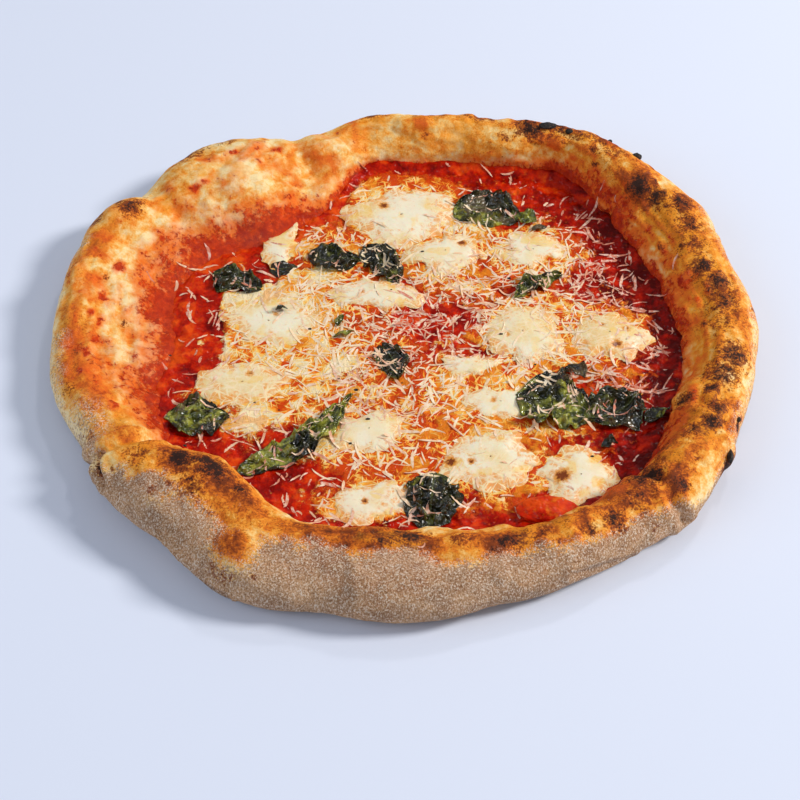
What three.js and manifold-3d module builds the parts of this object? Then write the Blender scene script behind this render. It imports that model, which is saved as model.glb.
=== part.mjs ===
// Margherita pizza: a hand-stretched dough with a puffed rim, tomato sauce, melted mozzarella, wilted basil
// and one piece of tomato. Millimetres, +Z up, origin at the middle of the flat underside.
import * as THREE from "three";
import { mergeVertices } from "three/addons/utils/BufferGeometryUtils.js";
import Module from "manifold-3d";

const wasm = await Module();
wasm.setup();

// Driving dimensions, in millimetres and degrees.
const GAP = 0.3; // clearance between pieces that lie on each other
const DOUGH = {
  halfWidth: 163, // outline along X
  halfDepth: 152, // outline along Y
  floor: 4, // thickness of the stretched middle
  rimHeight: 24,
  rimWidth: 34, // from the outline to the foot of the rim's inner wall
  crestShare: 0.43, // how far in from the outline the crest lies, as a share of the rim's width
  steepness: 0.75, // 1 is a round, steep inner wall and 0 a gentle ramp
  widestAt: 0.4, // height of the outline, as a share of the rim's height
};
const COLUMNS = 90; // steps around the dough
const SAUCE = { thickness: 1.9, edgeGap: 0.5 };
const SAUCE_BOTTOM = DOUGH.floor + GAP;
const SAUCE_TOP = SAUCE_BOTTOM + SAUCE.thickness;

// Where the rim swells or pinches: the angle and its spread, and what the rim gains there in outline, height,
// width, crest share and steepness.
const SWELLINGS = [
  { at: 5, spread: 20, out: 0, up: 0, wide: 5, crest: 0, steep: 0 },
  { at: 30, spread: 9, out: 2, up: 1, wide: 2, crest: 0, steep: 0 },
  { at: 51, spread: 13, out: 9, up: 3, wide: -4, crest: 0, steep: 0.1 },
  { at: 68, spread: 15, out: 1, up: 2, wide: -9, crest: 0.03, steep: 0.15 },
  { at: 84, spread: 6, out: -3, up: 0, wide: -6, crest: 0, steep: 0 },
  { at: 97, spread: 9, out: 2, up: 5, wide: -7, crest: 0, steep: 0.1 },
  { at: 110, spread: 8, out: -10, up: -4, wide: -2, crest: 0, steep: -0.3 },
  { at: 131, spread: 10, out: 7, up: 4, wide: 21, crest: 0.08, steep: 0.1 },
  { at: 147, spread: 5, out: -1, up: -4, wide: 0, crest: 0, steep: -0.3 },
  { at: 160, spread: 10, out: 4, up: -1, wide: 2, crest: -0.08, steep: -0.4 },
  { at: 184, spread: 17, out: 0, up: -4, wide: 6, crest: -0.1, steep: -0.5 },
  { at: 204, spread: 8, out: -6, up: -2, wide: 4, crest: -0.04, steep: -0.4 },
  { at: 225, spread: 12, out: 0, up: 7, wide: 13, crest: 0.2, steep: 0.1 },
  { at: 245, spread: 12, out: 3, up: 1, wide: 7, crest: 0.18, steep: 0 },
  { at: 270, spread: 17, out: 0, up: 2, wide: 7, crest: 0.2, steep: 0.1 },
  { at: 303, spread: 10, out: -5, up: -1, wide: -7, crest: 0.04, steep: 0.1 },
  { at: 319, spread: 5, out: 3, up: 2, wide: -1, crest: 0.03, steep: 0 },
  { at: 338, spread: 10, out: -3, up: 2, wide: -2, crest: 0, steep: 0 },
  { at: 353, spread: 6, out: -3, up: 0, wide: -4, crest: 0, steep: 0 },
];

// Pools of melted cheese: middle, length, width, turn of the long side and the thickness at the middle.
const POOLS = [
  { x: 0, y: 86, long: 56, wide: 42, turn: 12, thick: 3.4 },
  { x: 18, y: 61, long: 44, wide: 29, turn: -6, thick: 3.0 },
  { x: 62, y: 62, long: 35, wide: 25, turn: 12, thick: 2.4 },
  { x: -14, y: 31, long: 48, wide: 19, turn: -4, thick: 2.8 },
  { x: -60, y: 65, long: 29, wide: 15, turn: 78, thick: 2.2 },
  { x: -62, y: 14, long: 47, wide: 30, turn: -14, thick: 2.0 },
  { x: -73, y: -25, long: 42, wide: 25, turn: 6, thick: 2.4 },
  { x: 56, y: 5, long: 39, wide: 37, turn: 60, thick: 3.2 },
  { x: 94, y: 4, long: 37, wide: 31, turn: -10, thick: 3.0 },
  { x: 75, y: -80, long: 34, wide: 31, turn: 20, thick: 3.3 },
  { x: 38, y: -70, long: 41, wide: 35, turn: 8, thick: 3.1 },
  { x: 44, y: -37, long: 38, wide: 20, turn: -3, thick: 2.3 },
  { x: -15, y: -54, long: 34, wide: 24, turn: 24, thick: 2.7 },
  { x: -16, y: -93, long: 34, wide: 22, turn: 14, thick: 2.4 },
  { x: 30, y: -15, long: 26, wide: 14, turn: 4, thick: 1.9 },
];

// Wilted leaves: middle, length, width, turn of the midrib from the stalk to the tip, how high the folds stand,
// how many folds run across and how far the midrib bends sideways.
const LEAVES = [
  { x: 42, y: 88, long: 37, wide: 30, turn: -12, high: 4.2, folds: 3, bend: 3 },
  { x: 63, y: 38, long: 27, wide: 9, turn: 35, high: 3.6, folds: 2, bend: 2 },
  { x: 68, y: -38, long: 33, wide: 22, turn: -20, high: 5.0, folds: 4, bend: 4 },
  { x: 99, y: -40, long: 27, wide: 21, turn: 34, high: 4.6, folds: 3, bend: -3 },
  { x: 11, y: -94, long: 32, wide: 25, turn: -96, high: 5.2, folds: 5, bend: 0 },
  { x: -44, y: -61, long: 66, wide: 15, turn: 43, high: 4.4, folds: 5, bend: -7 },
  { x: -92, y: -47, long: 26, wide: 19, turn: 8, high: 4.8, folds: 3, bend: 2 },
  { x: -79, y: 39, long: 23, wide: 14, turn: -20, high: 4.0, folds: 3, bend: 2 },
  { x: -34, y: 55, long: 24, wide: 12, turn: -8, high: 4.4, folds: 3, bend: -2 },
  { x: -9, y: 52, long: 29, wide: 14, turn: -58, high: 4.6, folds: 4, bend: 2 },
  { x: -58, y: 49, long: 12, wide: 8, turn: 10, high: 2.6, folds: 2, bend: 0 },
  { x: -6, y: -12, long: 20, wide: 13, turn: -70, high: 4.2, folds: 3, bend: 2 },
];
const LEAF = { thickness: 1.1, steps: 10, across: 4, keel: 0.35 };
const TOMATO = { x: 60, y: -99, long: 25, wide: 13, turn: 8, thick: 6.5 };
const DOMES = [...POOLS, TOMATO];

const radians = THREE.MathUtils.degToRad;
const { smoothstep, mapLinear } = THREE.MathUtils;

// How much of a swelling is felt at an angle in degrees: 1 at its middle, fading over its spread.
function felt(swelling, degrees) {
  const away = ((degrees - swelling.at + 540) % 360) - 180;
  return Math.exp(-((away / swelling.spread) ** 2));
}

function swell(key, degrees) {
  return SWELLINGS.reduce((sum, s) => sum + s[key] * felt(s, degrees), 0);
}

// The rim's section at an angle: the radii of its outline, crest and foot, and its height.
function rimAt(degrees) {
  const a = radians(degrees);
  const oval = 1 / Math.hypot(Math.cos(a) / DOUGH.halfWidth, Math.sin(a) / DOUGH.halfDepth);
  const ripple = 0.7 * Math.sin(7 * a + 1) + 0.5 * Math.sin(13 * a + 2.2);
  const outline = oval + swell("out", degrees) + ripple;
  const width = DOUGH.rimWidth + swell("wide", degrees);
  return {
    outline,
    crest: outline - width * (DOUGH.crestShare + swell("crest", degrees)),
    foot: outline - width,
    height: DOUGH.rimHeight + swell("up", degrees) + 0.5 * Math.sin(9 * a + 0.5),
    steep: DOUGH.steepness + swell("steep", degrees),
  };
}

// A turned solid whose vertices are then placed by the step along its profile and the angle in degrees. The
// profile starts and ends on the axis.
function turned(rows, count, place) {
  const profile = Array.from({ length: rows }, (_, r) => new THREE.Vector2(r % (rows - 1) ? 1 : 0, r));
  const geometry = new THREE.LatheGeometry(profile, count);
  const { position, uv } = geometry.attributes;
  for (let k = 0; k < position.count; k++) {
    const degrees = 360 * (uv.getX(k) % 1);
    position.setXYZ(k, ...place(Math.round(uv.getY(k) * (rows - 1)), degrees));
  }
  return geometry;
}

function polar(radius, degrees, z) {
  return [radius * Math.cos(radians(degrees)), radius * Math.sin(radians(degrees)), z];
}

// The dough's section, from the middle of the underside round the rim to the middle of the floor.
const OUTER_STEPS = [-90, -62, -40, -20, 0, 18, 36, 54, 72, 90]; // degrees around the outer wall, foot to crest
const INNER_SHARES = [0.82, 0.64, 0.46, 0.29, 0.13, 0]; // of the way from the inner foot up to the crest
const DOUGH_ROWS = OUTER_STEPS.length + INNER_SHARES.length + 4;

function doughPoint(row, degrees) {
  const rim = rimAt(degrees);
  if (row === 0) return [0, 0, 0];
  if (row === 1) return polar(rim.foot * 0.6, degrees, 0);
  if (row === DOUGH_ROWS - 1) return [0, 0, DOUGH.floor];
  if (row === DOUGH_ROWS - 2) return polar(rim.foot * 0.5, degrees, DOUGH.floor);
  if (row < OUTER_STEPS.length + 2) {
    const step = radians(OUTER_STEPS[row - 2]);
    const middle = rim.height * DOUGH.widestAt;
    const squareness = step < 0 ? 0.62 : 0.9; // the lower edge is squarer than the crest
    const reach = (rim.outline - rim.crest) * Math.pow(Math.max(Math.cos(step), 0), squareness);
    const rise = (step < 0 ? middle : rim.height - middle) * Math.sin(step);
    return polar(rim.crest + reach, degrees, Math.max(middle + rise, 0));
  }
  const share = INNER_SHARES[row - OUTER_STEPS.length - 2];
  const round = Math.sqrt(1 - (1 - share) ** 2);
  const ramp = smoothstep(share, 0, 1);
  const climb = ramp + (round - ramp) * Math.min(Math.max(rim.steep, 0), 1);
  const z = DOUGH.floor + (rim.height - DOUGH.floor) * climb;
  return polar(rim.foot + (rim.crest - rim.foot) * share, degrees, z);
}

// The sauce: a thin layer that fills the floor up to the foot of the rim.
function saucePoint(row, degrees) {
  const edge = rimAt(degrees).foot - SAUCE.edgeGap;
  if (row === 0) return [0, 0, SAUCE_BOTTOM];
  if (row === 1) return polar(edge, degrees, SAUCE_BOTTOM);
  if (row === 2) return polar(edge - 0.6, degrees, SAUCE_TOP);
  return [0, 0, SAUCE_TOP];
}

// How far a dome's wavy outline reaches at an angle, as a share of its half length and half width.
function waviness(a, waves) {
  return 1 + 0.08 * Math.sin(3 * a + waves) + 0.06 * Math.sin(5 * a + 2.3 * waves);
}

// A low dome lying on the sauce: the reach and the height of each step of its profile are shares of its half size
// and thickness. With extra, it is the room that the dome keeps clear round itself.
function domeGeometry({ x, y, long, wide, turn, thick }, steps, waves, extra = 0) {
  const geometry = turned(steps.length, 22, (row, degrees) => {
    const [share, height] = steps[row];
    const a = radians(degrees);
    const [half, side] = [long / 2 + extra, wide / 2 + extra].map((r) => r * share * waviness(a, waves));
    return [half * Math.cos(a), side * Math.sin(a), height ? (thick + extra) * height : -extra];
  });
  geometry.rotateZ(radians(turn));
  return geometry.translate(x, y, SAUCE_TOP + GAP);
}

const POOL_STEPS = [[0, 0], [0.96, 0], [1, 0.28], [0.8, 0.74], [0.42, 0.97], [0, 1]];
const CHUNK_STEPS = [[0, 0], [0.8, 0], [1, 0.35], [0.82, 0.75], [0.4, 0.95], [0, 1]];

// How high a dome stands at a point of the plan.
function domeHeight({ x, y, long, wide, turn, thick }, waves, px, py) {
  const [dx, dy, t] = [px - x, py - y, radians(-turn)];
  const u = (dx * Math.cos(t) - dy * Math.sin(t)) / (long / 2);
  const v = (dx * Math.sin(t) + dy * Math.cos(t)) / (wide / 2);
  const share = Math.hypot(u, v) / waviness(Math.atan2(v, u), waves);
  if (share > 1.05) return 0;
  const k = POOL_STEPS.findIndex(([reach], step) => step > 2 && reach <= share);
  const [[far, low], [near, high]] = [POOL_STEPS[k - 1], POOL_STEPS[k]];
  return thick * mapLinear(Math.min(share, 1), far, near, low, high);
}

// A wilted leaf: a thin block bent into a folded blade, pointed at the tip, its folds standing up. It lies on the
// highest of the domes below it.
function leafGeometry(leaf, number) {
  const { thickness, steps, across, keel } = LEAF;
  const geometry = new THREE.BoxGeometry(leaf.long, leaf.wide, thickness, steps, across, 1);
  const { position } = geometry.attributes;
  for (let k = 0; k < position.count; k++) {
    const along = position.getX(k) / leaf.long + 0.5;
    const aside = (2 * position.getY(k)) / leaf.wide;
    const belly = Math.max(Math.sin(Math.PI * Math.pow(along, 0.8)), 0.08);
    const arch = Math.sin(Math.PI * along);
    const fold = Math.cos(Math.PI * leaf.folds * along + 2.1 * aside + number);
    const rise = leaf.high * Math.max(0.3 + 0.3 * fold + keel * (1 - aside * aside) * arch, 0);
    const y = (leaf.wide / 2) * belly * aside + leaf.bend * (arch - 0.5);
    position.setXYZ(k, position.getX(k), y, rise + (position.getZ(k) > 0 ? thickness : 0));
  }
  geometry.rotateZ(radians(leaf.turn));
  geometry.translate(leaf.x, leaf.y, SAUCE_TOP + GAP);
  let lift = 0;
  for (let k = 0; k < position.count; k++) {
    const [x, y, z] = [position.getX(k), position.getY(k), position.getZ(k) - SAUCE_TOP - GAP];
    DOMES.forEach((dome, waves) => {
      const height = domeHeight(dome, waves, x, y);
      if (height > 0) lift = Math.max(lift, height + GAP - z);
    });
  }
  return geometry.translate(0, 0, lift);
}

// A closed geometry as a solid for cutting, without the flat triangles at a turned solid's two poles.
function solid(geometry) {
  geometry.deleteAttribute("normal");
  geometry.deleteAttribute("uv");
  const merged = mergeVertices(geometry, 1e-4);
  const triVerts = [];
  for (let k = 0; k < merged.index.count; k += 3) {
    const [a, b, c] = [0, 1, 2].map((corner) => merged.index.getX(k + corner));
    if (a !== b && b !== c && c !== a) triVerts.push(a, b, c);
  }
  const vertProperties = merged.attributes.position.array;
  return new wasm.Manifold(new wasm.Mesh({ numProp: 3, vertProperties, triVerts: new Uint32Array(triVerts) }));
}

// What is left of a piece once the room of its neighbours is cut away, without the crumbs of the cut.
function cutClear(body, rooms) {
  const left = rooms.reduce((rest, room) => rest.subtract(room), body);
  return left.decompose().sort((a, b) => b.volume() - a.volume())[0];
}

function backToGeometry(body) {
  const mesh = body.getMesh();
  const geometry = new THREE.BufferGeometry();
  geometry.setAttribute("position", new THREE.BufferAttribute(new Float32Array(mesh.vertProperties), 3));
  geometry.setIndex(new THREE.BufferAttribute(new Uint32Array(mesh.triVerts), 1));
  return geometry;
}

const materials = {
  crust: new THREE.MeshStandardMaterial({ color: 0xc98a4a, roughness: 0.8, metalness: 0 }),
  sauce: new THREE.MeshStandardMaterial({ color: 0xb02a10, roughness: 0.35, metalness: 0 }),
  cheese: new THREE.MeshStandardMaterial({ color: 0xf0dfae, roughness: 0.4, metalness: 0 }),
  leaf: new THREE.MeshStandardMaterial({ color: 0x1f2a18, roughness: 0.4, metalness: 0 }),
  tomato: new THREE.MeshStandardMaterial({ color: 0xc0341a, roughness: 0.3, metalness: 0 }),
};

const pizza = new THREE.Group();

function add(name, body, material) {
  const mesh = new THREE.Mesh(backToGeometry(body), material);
  mesh.name = name;
  pizza.add(mesh);
}

const twoDigits = (k) => String(k + 1).padStart(2, "0");

add("crust", solid(turned(DOUGH_ROWS, COLUMNS, doughPoint)), materials.crust);
add("tomato_sauce", solid(turned(4, COLUMNS, saucePoint)), materials.sauce);

// Cheese melts round what lies there already, so each later dome gives way to the ones before it.
const rooms = [];
DOMES.forEach((dome, k) => {
  const steps = dome === TOMATO ? CHUNK_STEPS : POOL_STEPS;
  const body = cutClear(solid(domeGeometry(dome, steps, k)), rooms);
  rooms.push(solid(domeGeometry(dome, steps, k, GAP)));
  if (dome === TOMATO) add("tomato_piece", body, materials.tomato);
  else add(`mozzarella_${twoDigits(k)}`, body, materials.cheese);
});
LEAVES.forEach((leaf, k) => add(`basil_${twoDigits(k)}`, solid(leafGeometry(leaf, k)), materials.leaf));

export default pizza;
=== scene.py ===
from math import cos, hypot, pi, radians, sin, sqrt
import bpy
import numpy as np
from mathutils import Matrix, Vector
from mathutils.bvhtree import BVHTree


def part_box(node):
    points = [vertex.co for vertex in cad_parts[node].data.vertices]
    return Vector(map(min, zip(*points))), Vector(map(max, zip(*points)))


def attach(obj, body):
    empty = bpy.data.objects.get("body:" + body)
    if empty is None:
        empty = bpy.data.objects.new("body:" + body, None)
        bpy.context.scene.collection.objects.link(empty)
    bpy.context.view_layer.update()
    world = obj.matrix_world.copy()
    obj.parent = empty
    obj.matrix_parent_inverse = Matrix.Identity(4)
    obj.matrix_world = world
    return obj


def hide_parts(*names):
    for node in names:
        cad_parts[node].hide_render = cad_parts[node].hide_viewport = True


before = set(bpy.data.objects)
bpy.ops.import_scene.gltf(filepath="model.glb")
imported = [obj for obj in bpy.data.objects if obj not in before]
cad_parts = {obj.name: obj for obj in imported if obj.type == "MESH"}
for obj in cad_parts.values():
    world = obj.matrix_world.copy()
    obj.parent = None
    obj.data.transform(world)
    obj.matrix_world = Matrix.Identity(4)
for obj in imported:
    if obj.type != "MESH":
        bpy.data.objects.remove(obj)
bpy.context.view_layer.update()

mm = 0.001  # all shapes below are worked out in millimetres
dice = np.random.default_rng(7)


def latticeNoise(places, seed):
    # smooth random values from -1 to 1, one cell of the lattice to a unit
    cell = np.floor(places).astype(np.int64)
    part = places - cell
    part = part * part * part * (part * (part * 6 - 15) + 10)
    total = np.zeros(len(places))
    for corner in range(8):
        step = np.array([corner & 1, corner >> 1 & 1, corner >> 2 & 1])
        x, y, z = (cell + step).T
        code = (x * 374761393 + y * 668265263 + z * 1103515245 + seed * 362437) & 0xffffffff
        code = ((code ^ (code >> 13)) * 1274126177) & 0xffffffff
        value = ((code ^ (code >> 16)) & 0xffff) / 32767.5 - 1
        total += value * np.prod(np.where(step, part, 1 - part), axis=1)
    return total


def lumps(points, size, seed, layers=2):
    # uneven swellings of about that size in mm, from about -1 to 1
    flat = points.reshape(-1, 3) / size
    total = sum(latticeNoise(flat * 2 ** k + 31.7 * k, seed + k) / 2 ** k for k in range(layers))
    return total.reshape(points.shape[:-1])


def ease(value, low, high):
    # 0 at low and 1 at high, with a soft start and end
    share = np.clip((value - low) / (high - low), 0, 1)
    return share * share * (3 - 2 * share)


def peak(distance, sharpness=1.0):
    # 1 at the middle, falling off evenly
    return np.exp(-sharpness * distance ** 2)


def joined(*parts):
    # coordinates side by side, as points
    return np.stack(np.broadcast_arrays(*parts), axis=-1)


def solidTree(nodeName):
    # a plain solid's surface, for finding heights and edges with rays
    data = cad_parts[nodeName].data
    corners = [v.co / mm for v in data.vertices]
    return BVHTree.FromPolygons(corners, [list(p.vertices) for p in data.polygons])


def nodeBox(nodeName):
    # lowest and highest corner of a plain solid, mm
    return (np.array(corner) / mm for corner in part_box(nodeName))


def turned(x, y, degree):
    # places turned round the middle
    c, s = cos(radians(degree)), sin(radians(degree))
    return x * c - y * s, y * c + x * s


def fullTurn(count):
    # equal steps round a circle
    return np.arange(count) * 2 * pi / count


def gridFaces(rows, columns, wrap):
    # four-sided faces between rows of points, which close into rings where wrap is true
    row, column = np.arange(rows - 1)[:, None], np.arange(columns if wrap else columns - 1)
    after = (column + 1) % columns
    return joined(row * columns + column, (row + 1) * columns + column,
                  (row + 1) * columns + after, row * columns + after).reshape(-1, 4)


def ballPoints(rows, columns, start, end):
    # points of a ball of radius 1, in rings from angle start below its top to angle end
    polar, turn = np.meshgrid(np.linspace(start, end, rows), fullTurn(columns), indexing="ij")
    return joined(np.sin(polar) * np.cos(turn), np.sin(polar) * np.sin(turn), np.cos(polar))


def addObject(name, data):
    thing = bpy.data.objects.new(name, data)
    bpy.context.scene.collection.objects.link(thing)
    return thing


def makePiece(name, points, faces, material, masks, node=None):
    mesh = bpy.data.meshes.new(name)
    mesh.from_pydata((points.reshape(-1, 3) * mm).tolist(), [], faces)
    for maskName, values in masks.items():
        layer = mesh.attributes.new(maskName, "FLOAT", "POINT")
        layer.data.foreach_set("value", np.asarray(values, dtype=np.float32).ravel())
    mesh.shade_smooth()
    mesh.materials.append(material)
    piece = addObject(name, mesh)
    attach(piece, "root")
    if node:
        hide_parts(node)
    return piece


def srgb(red, green, blue):
    levels = [c / 255 for c in (red, green, blue)]
    return tuple(c / 12.92 if c <= 0.04 else ((c + 0.055) / 1.055) ** 2.4 for c in levels) + (1.0,)


class Signal:
    # a value or a colour inside a material, which takes + - and * as a number does
    def __init__(self, socket):
        self.socket = socket

    def __add__(self, other):
        return combine("ADD", self, other)

    def __sub__(self, other):
        return combine("SUBTRACT", self, other)

    def __rsub__(self, other):
        return combine("SUBTRACT", other, self)

    def __mul__(self, other):
        return combine("MULTIPLY", self, other)


def plugIn(node, sockets):
    for key, value in sockets.items():
        if isinstance(value, Signal):
            node.id_data.links.new(value.socket, node.inputs[key])
        else:
            node.inputs[key].default_value = value
    return node


def addNode(beside, kind, sockets, **settings):
    # a new node in the same material or group as a signal
    node = beside.socket.id_data.nodes.new("ShaderNode" + kind)
    for name, value in settings.items():
        setattr(node, name, value)
    return Signal(plugIn(node, sockets).outputs[0])


def combine(way, first, second):
    beside = first if isinstance(first, Signal) else second
    return addNode(beside, "Math", {0: first, 1: second}, operation=way)


def blend(share, first, second):
    mixed = addNode(share, "Mix", {0: share, 6: first, 7: second}, data_type="RGBA")
    return Signal(mixed.socket.node.outputs[2])


def spread(value, low, high, start=0.0, end=1.0):
    sockets = {"Value": value, "From Min": low, "From Max": high, "To Min": start, "To Max": end}
    return addNode(value, "MapRange", sockets, interpolation_type="SMOOTHSTEP")


def noise(place, scale, detail=3.0, rough=0.55, twist=0.0):
    return addNode(place, "TexNoise", {"Vector": place, "Scale": scale, "Detail": detail, "Roughness": rough,
                                       "Distortion": twist})


def paintedMasks(place, *names):
    masks = [addNode(place, "Attribute", {}, attribute_name=name) for name in names]
    return [Signal(mask.socket.node.outputs["Fac"]) for mask in masks]


def flattened(place):
    # the same place with the pattern stretched upwards
    return addNode(place, "Mapping", {"Vector": place, "Scale": (1.0, 1.0, 0.6)})


def colorSteps(value, steps):
    color = addNode(value, "ValToRGB", {"Fac": value})
    ramp = color.socket.node.color_ramp
    while len(ramp.elements) < len(steps):
        ramp.elements.new(0.5)
    for element, (position, shade) in zip(ramp.elements, steps):
        element.position = position
        element.color = srgb(*shade)
    return color


def newGroup(name, inputs, outputs):
    # a shader node group with its named inputs, which are numbers apart from Place, and its outputs
    group = bpy.data.node_groups.new(name, "ShaderNodeTree")
    group.interface.new_socket(name="Place", in_out="INPUT", socket_type="NodeSocketVector")
    for label, value in inputs.items():
        socket = group.interface.new_socket(name=label, in_out="INPUT", socket_type="NodeSocketFloat")
        socket.default_value = value
    for label in outputs:
        group.interface.new_socket(name=label, in_out="OUTPUT", socket_type="NodeSocketFloat")
    given = group.nodes.new("NodeGroupInput").outputs
    return group, {socket.name: Signal(socket) for socket in given}, group.nodes.new("NodeGroupOutput")


def useGroup(group, sockets):
    node = sockets["Place"].socket.id_data.nodes.new("ShaderNodeGroup")
    node.node_tree = group
    return {output.name: Signal(output) for output in plugIn(node, sockets).outputs}


# a painted mask with its edge broken up by grain
raggedEdge, given, result = newGroup(
    "ragged_edge", {"Mask": 0.0, "Grain": 400.0, "Ragged": 0.8, "Cut": 0.5, "Softness": 0.12}, ["Mask"])
raised = given["Mask"] + (noise(given["Place"], given["Grain"], 5.0, 0.65) - 0.5) * given["Ragged"]
plugIn(result, {"Mask": spread(raised, given["Cut"] - given["Softness"], given["Cut"] + given["Softness"])})

# light and dark grains, for flour, crumb and cheese, with the height they stand to
fineGrain, given, result = newGroup("fine_grain", {"Scale": 900.0}, ["Light", "Dark", "Height"])
coarse = noise(given["Place"], given["Scale"], 2.0, 0.6)
fine = noise(given["Place"], given["Scale"] * 2.3, 2.0, 0.6)
grainHeight = coarse * 0.6 + fine * 0.4
plugIn(result, {"Light": spread(grainHeight, 0.51, 0.60), "Dark": spread(grainHeight, 0.48, 0.39),
                "Height": grainHeight})

# a wet surface's roughness, glossy in some places and duller in others
wetPatches, given, result = newGroup("wet_patches", {"Scale": 150.0, "Wet": 0.2, "Dry": 0.5}, ["Roughness"])
patches = noise(given["Place"], given["Scale"], 3.0)
plugIn(result, {"Roughness": spread(patches, 0.38, 0.62, given["Wet"], given["Dry"])})

# strands of cheese lying in four directions, melted flat
meltedStrands, given, result = newGroup("melted_strands", {}, ["Strands"])
strands = 0.0
for turn in (0.2, 1.0, 1.75, 2.6):
    line = addNode(given["Place"], "Mapping",
                   {"Vector": given["Place"], "Location": (turn * 0.37, turn * 0.11, 0.0),
                    "Rotation": (0.0, 0.0, turn), "Scale": (0.0075, 0.0012, 0.004)}, vector_type="TEXTURE")
    strands = combine("MAXIMUM", strands, spread(noise(line, 1.0, 2.0, 0.5, 0.35), 0.54, 0.68))
plugIn(result, {"Strands": strands})


def ragged(painted, place, grain, amount, cut=0.5, softness=0.12):
    return useGroup(raggedEdge, {"Mask": painted, "Place": place, "Grain": grain, "Ragged": amount,
                                 "Cut": cut, "Softness": softness})["Mask"]


def grains(place, scale):
    return useGroup(fineGrain, {"Place": place, "Scale": scale})


def wetness(place, scale, wet, dry):
    return useGroup(wetPatches, {"Place": place, "Scale": scale, "Wet": wet, "Dry": dry})["Roughness"]


def newMaterial(name, **fixed):
    # a new material with the values that are the same all over it, and the place that its patterns use
    material = bpy.data.materials.new(name)
    material.use_nodes = True
    tree = material.node_tree
    for key, value in fixed.items():
        tree.nodes["Principled BSDF"].inputs[key.replace("_", " ")].default_value = value
    return material, Signal(tree.nodes.new("ShaderNodeTexCoord").outputs["Object"])


def finish(material, color, roughness, height, depth, strength):
    # the relief's depth is in metres
    bump = addNode(height, "Bump", {"Height": height, "Distance": depth, "Strength": strength})
    plugIn(material.node_tree.nodes["Principled BSDF"],
           {"Base Color": color, "Roughness": roughness, "Normal": bump})
    return material


def bakedCrust():
    material, place = newMaterial("baked_crust", Specular_IOR_Level=0.2)
    bake_and_shade, char, flour, smear, oily = paintedMasks(place, "bake_and_shade", "char", "flour", "smear", "oily")
    broad = noise(place, 70.0)
    mottle = noise(place, 330.0, 5.0, 0.7, 0.4)
    freckle = noise(place, 1150.0, 3.0, 0.6)
    crackle = noise(place, 800.0, 5.0, 0.75, 0.3)
    # how baked the crust is, with painted shade in the creases on the left
    heat_and_shade = bake_and_shade + (broad - 0.5) * 0.55 + (mottle - 0.5) * 0.95 + (freckle - 0.5) * 0.4
    color = colorSteps(heat_and_shade, [(0.06, (254, 226, 168)), (0.24, (251, 198, 114)), (0.42, (244, 157, 48)),
                              (0.60, (222, 116, 24)), (0.78, (160, 70, 14)), (0.94, (82, 36, 12))])
    oil = ragged(oily, place, 200.0, 1.8, softness=0.3)
    color = blend(oil * 0.55, color, srgb(246, 156, 26))
    dots = spread(freckle, 0.57, 0.62) * spread(bake_and_shade, 0.3, 0.66)
    color = blend(dots * 0.75, color, srgb(136, 60, 16))
    grain = grains(flattened(place), 1400.0)
    dusting = grain["Light"] * spread(flour, 0.04, 0.3)
    color = blend(dusting * 0.8, color, srgb(246, 228, 206))
    dust = blend(spread(broad, 0.35, 0.65), srgb(166, 122, 92), srgb(204, 156, 116))
    dust = blend(grain["Light"] * 0.85, dust, srgb(240, 224, 204))
    dust = blend(grain["Dark"] * 0.8, dust, srgb(112, 70, 44))
    color = blend(ragged(flour, place, 800.0, 2.4, softness=0.25) * 0.93, color, dust)
    # sauce spread on the rim: a thin wash, then the sauce itself where it lies thickest
    wash = smear + (broad - 0.5) * 0.5
    color = blend(spread(wash, 0.15, 0.8, 0.0, 0.8), color, srgb(240, 104, 28))
    drops = smear
    for scale in (210.0, 620.0):
        drops = drops + (noise(flattened(place), scale, 4.0, 0.62, 0.4) - 0.5) * 1.5
    stain = spread(drops, 0.66, 1.0)
    tomato = blend(spread(mottle, 0.35, 0.65), srgb(164, 14, 2), srgb(236, 78, 18))
    tomato = blend(spread(drops, 0.95, 1.35, 0.0, 0.55), tomato, srgb(184, 24, 4))
    color = blend(stain * 0.93, color, tomato)
    scorch = (char + (mottle - 0.5) * 2.2 + (freckle - 0.5) * 1.6) * spread(char, 0.03, 0.25)
    color = blend(spread(scorch, 0.26, 0.60, 0.0, 0.86), color, srgb(132, 56, 16))
    color = blend(spread(scorch, 0.66, 0.92, 0.0, 0.95), color, srgb(42, 24, 18))
    roughness = 0.68 - stain * 0.54 - oil * 0.14
    height = mottle * 0.5 + grain["Height"] * (flour * 0.7 + 0.3) + crackle * (stain * 0.4 + 0.35)
    return finish(material, color, roughness, height, 0.0014, 0.9)


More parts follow.
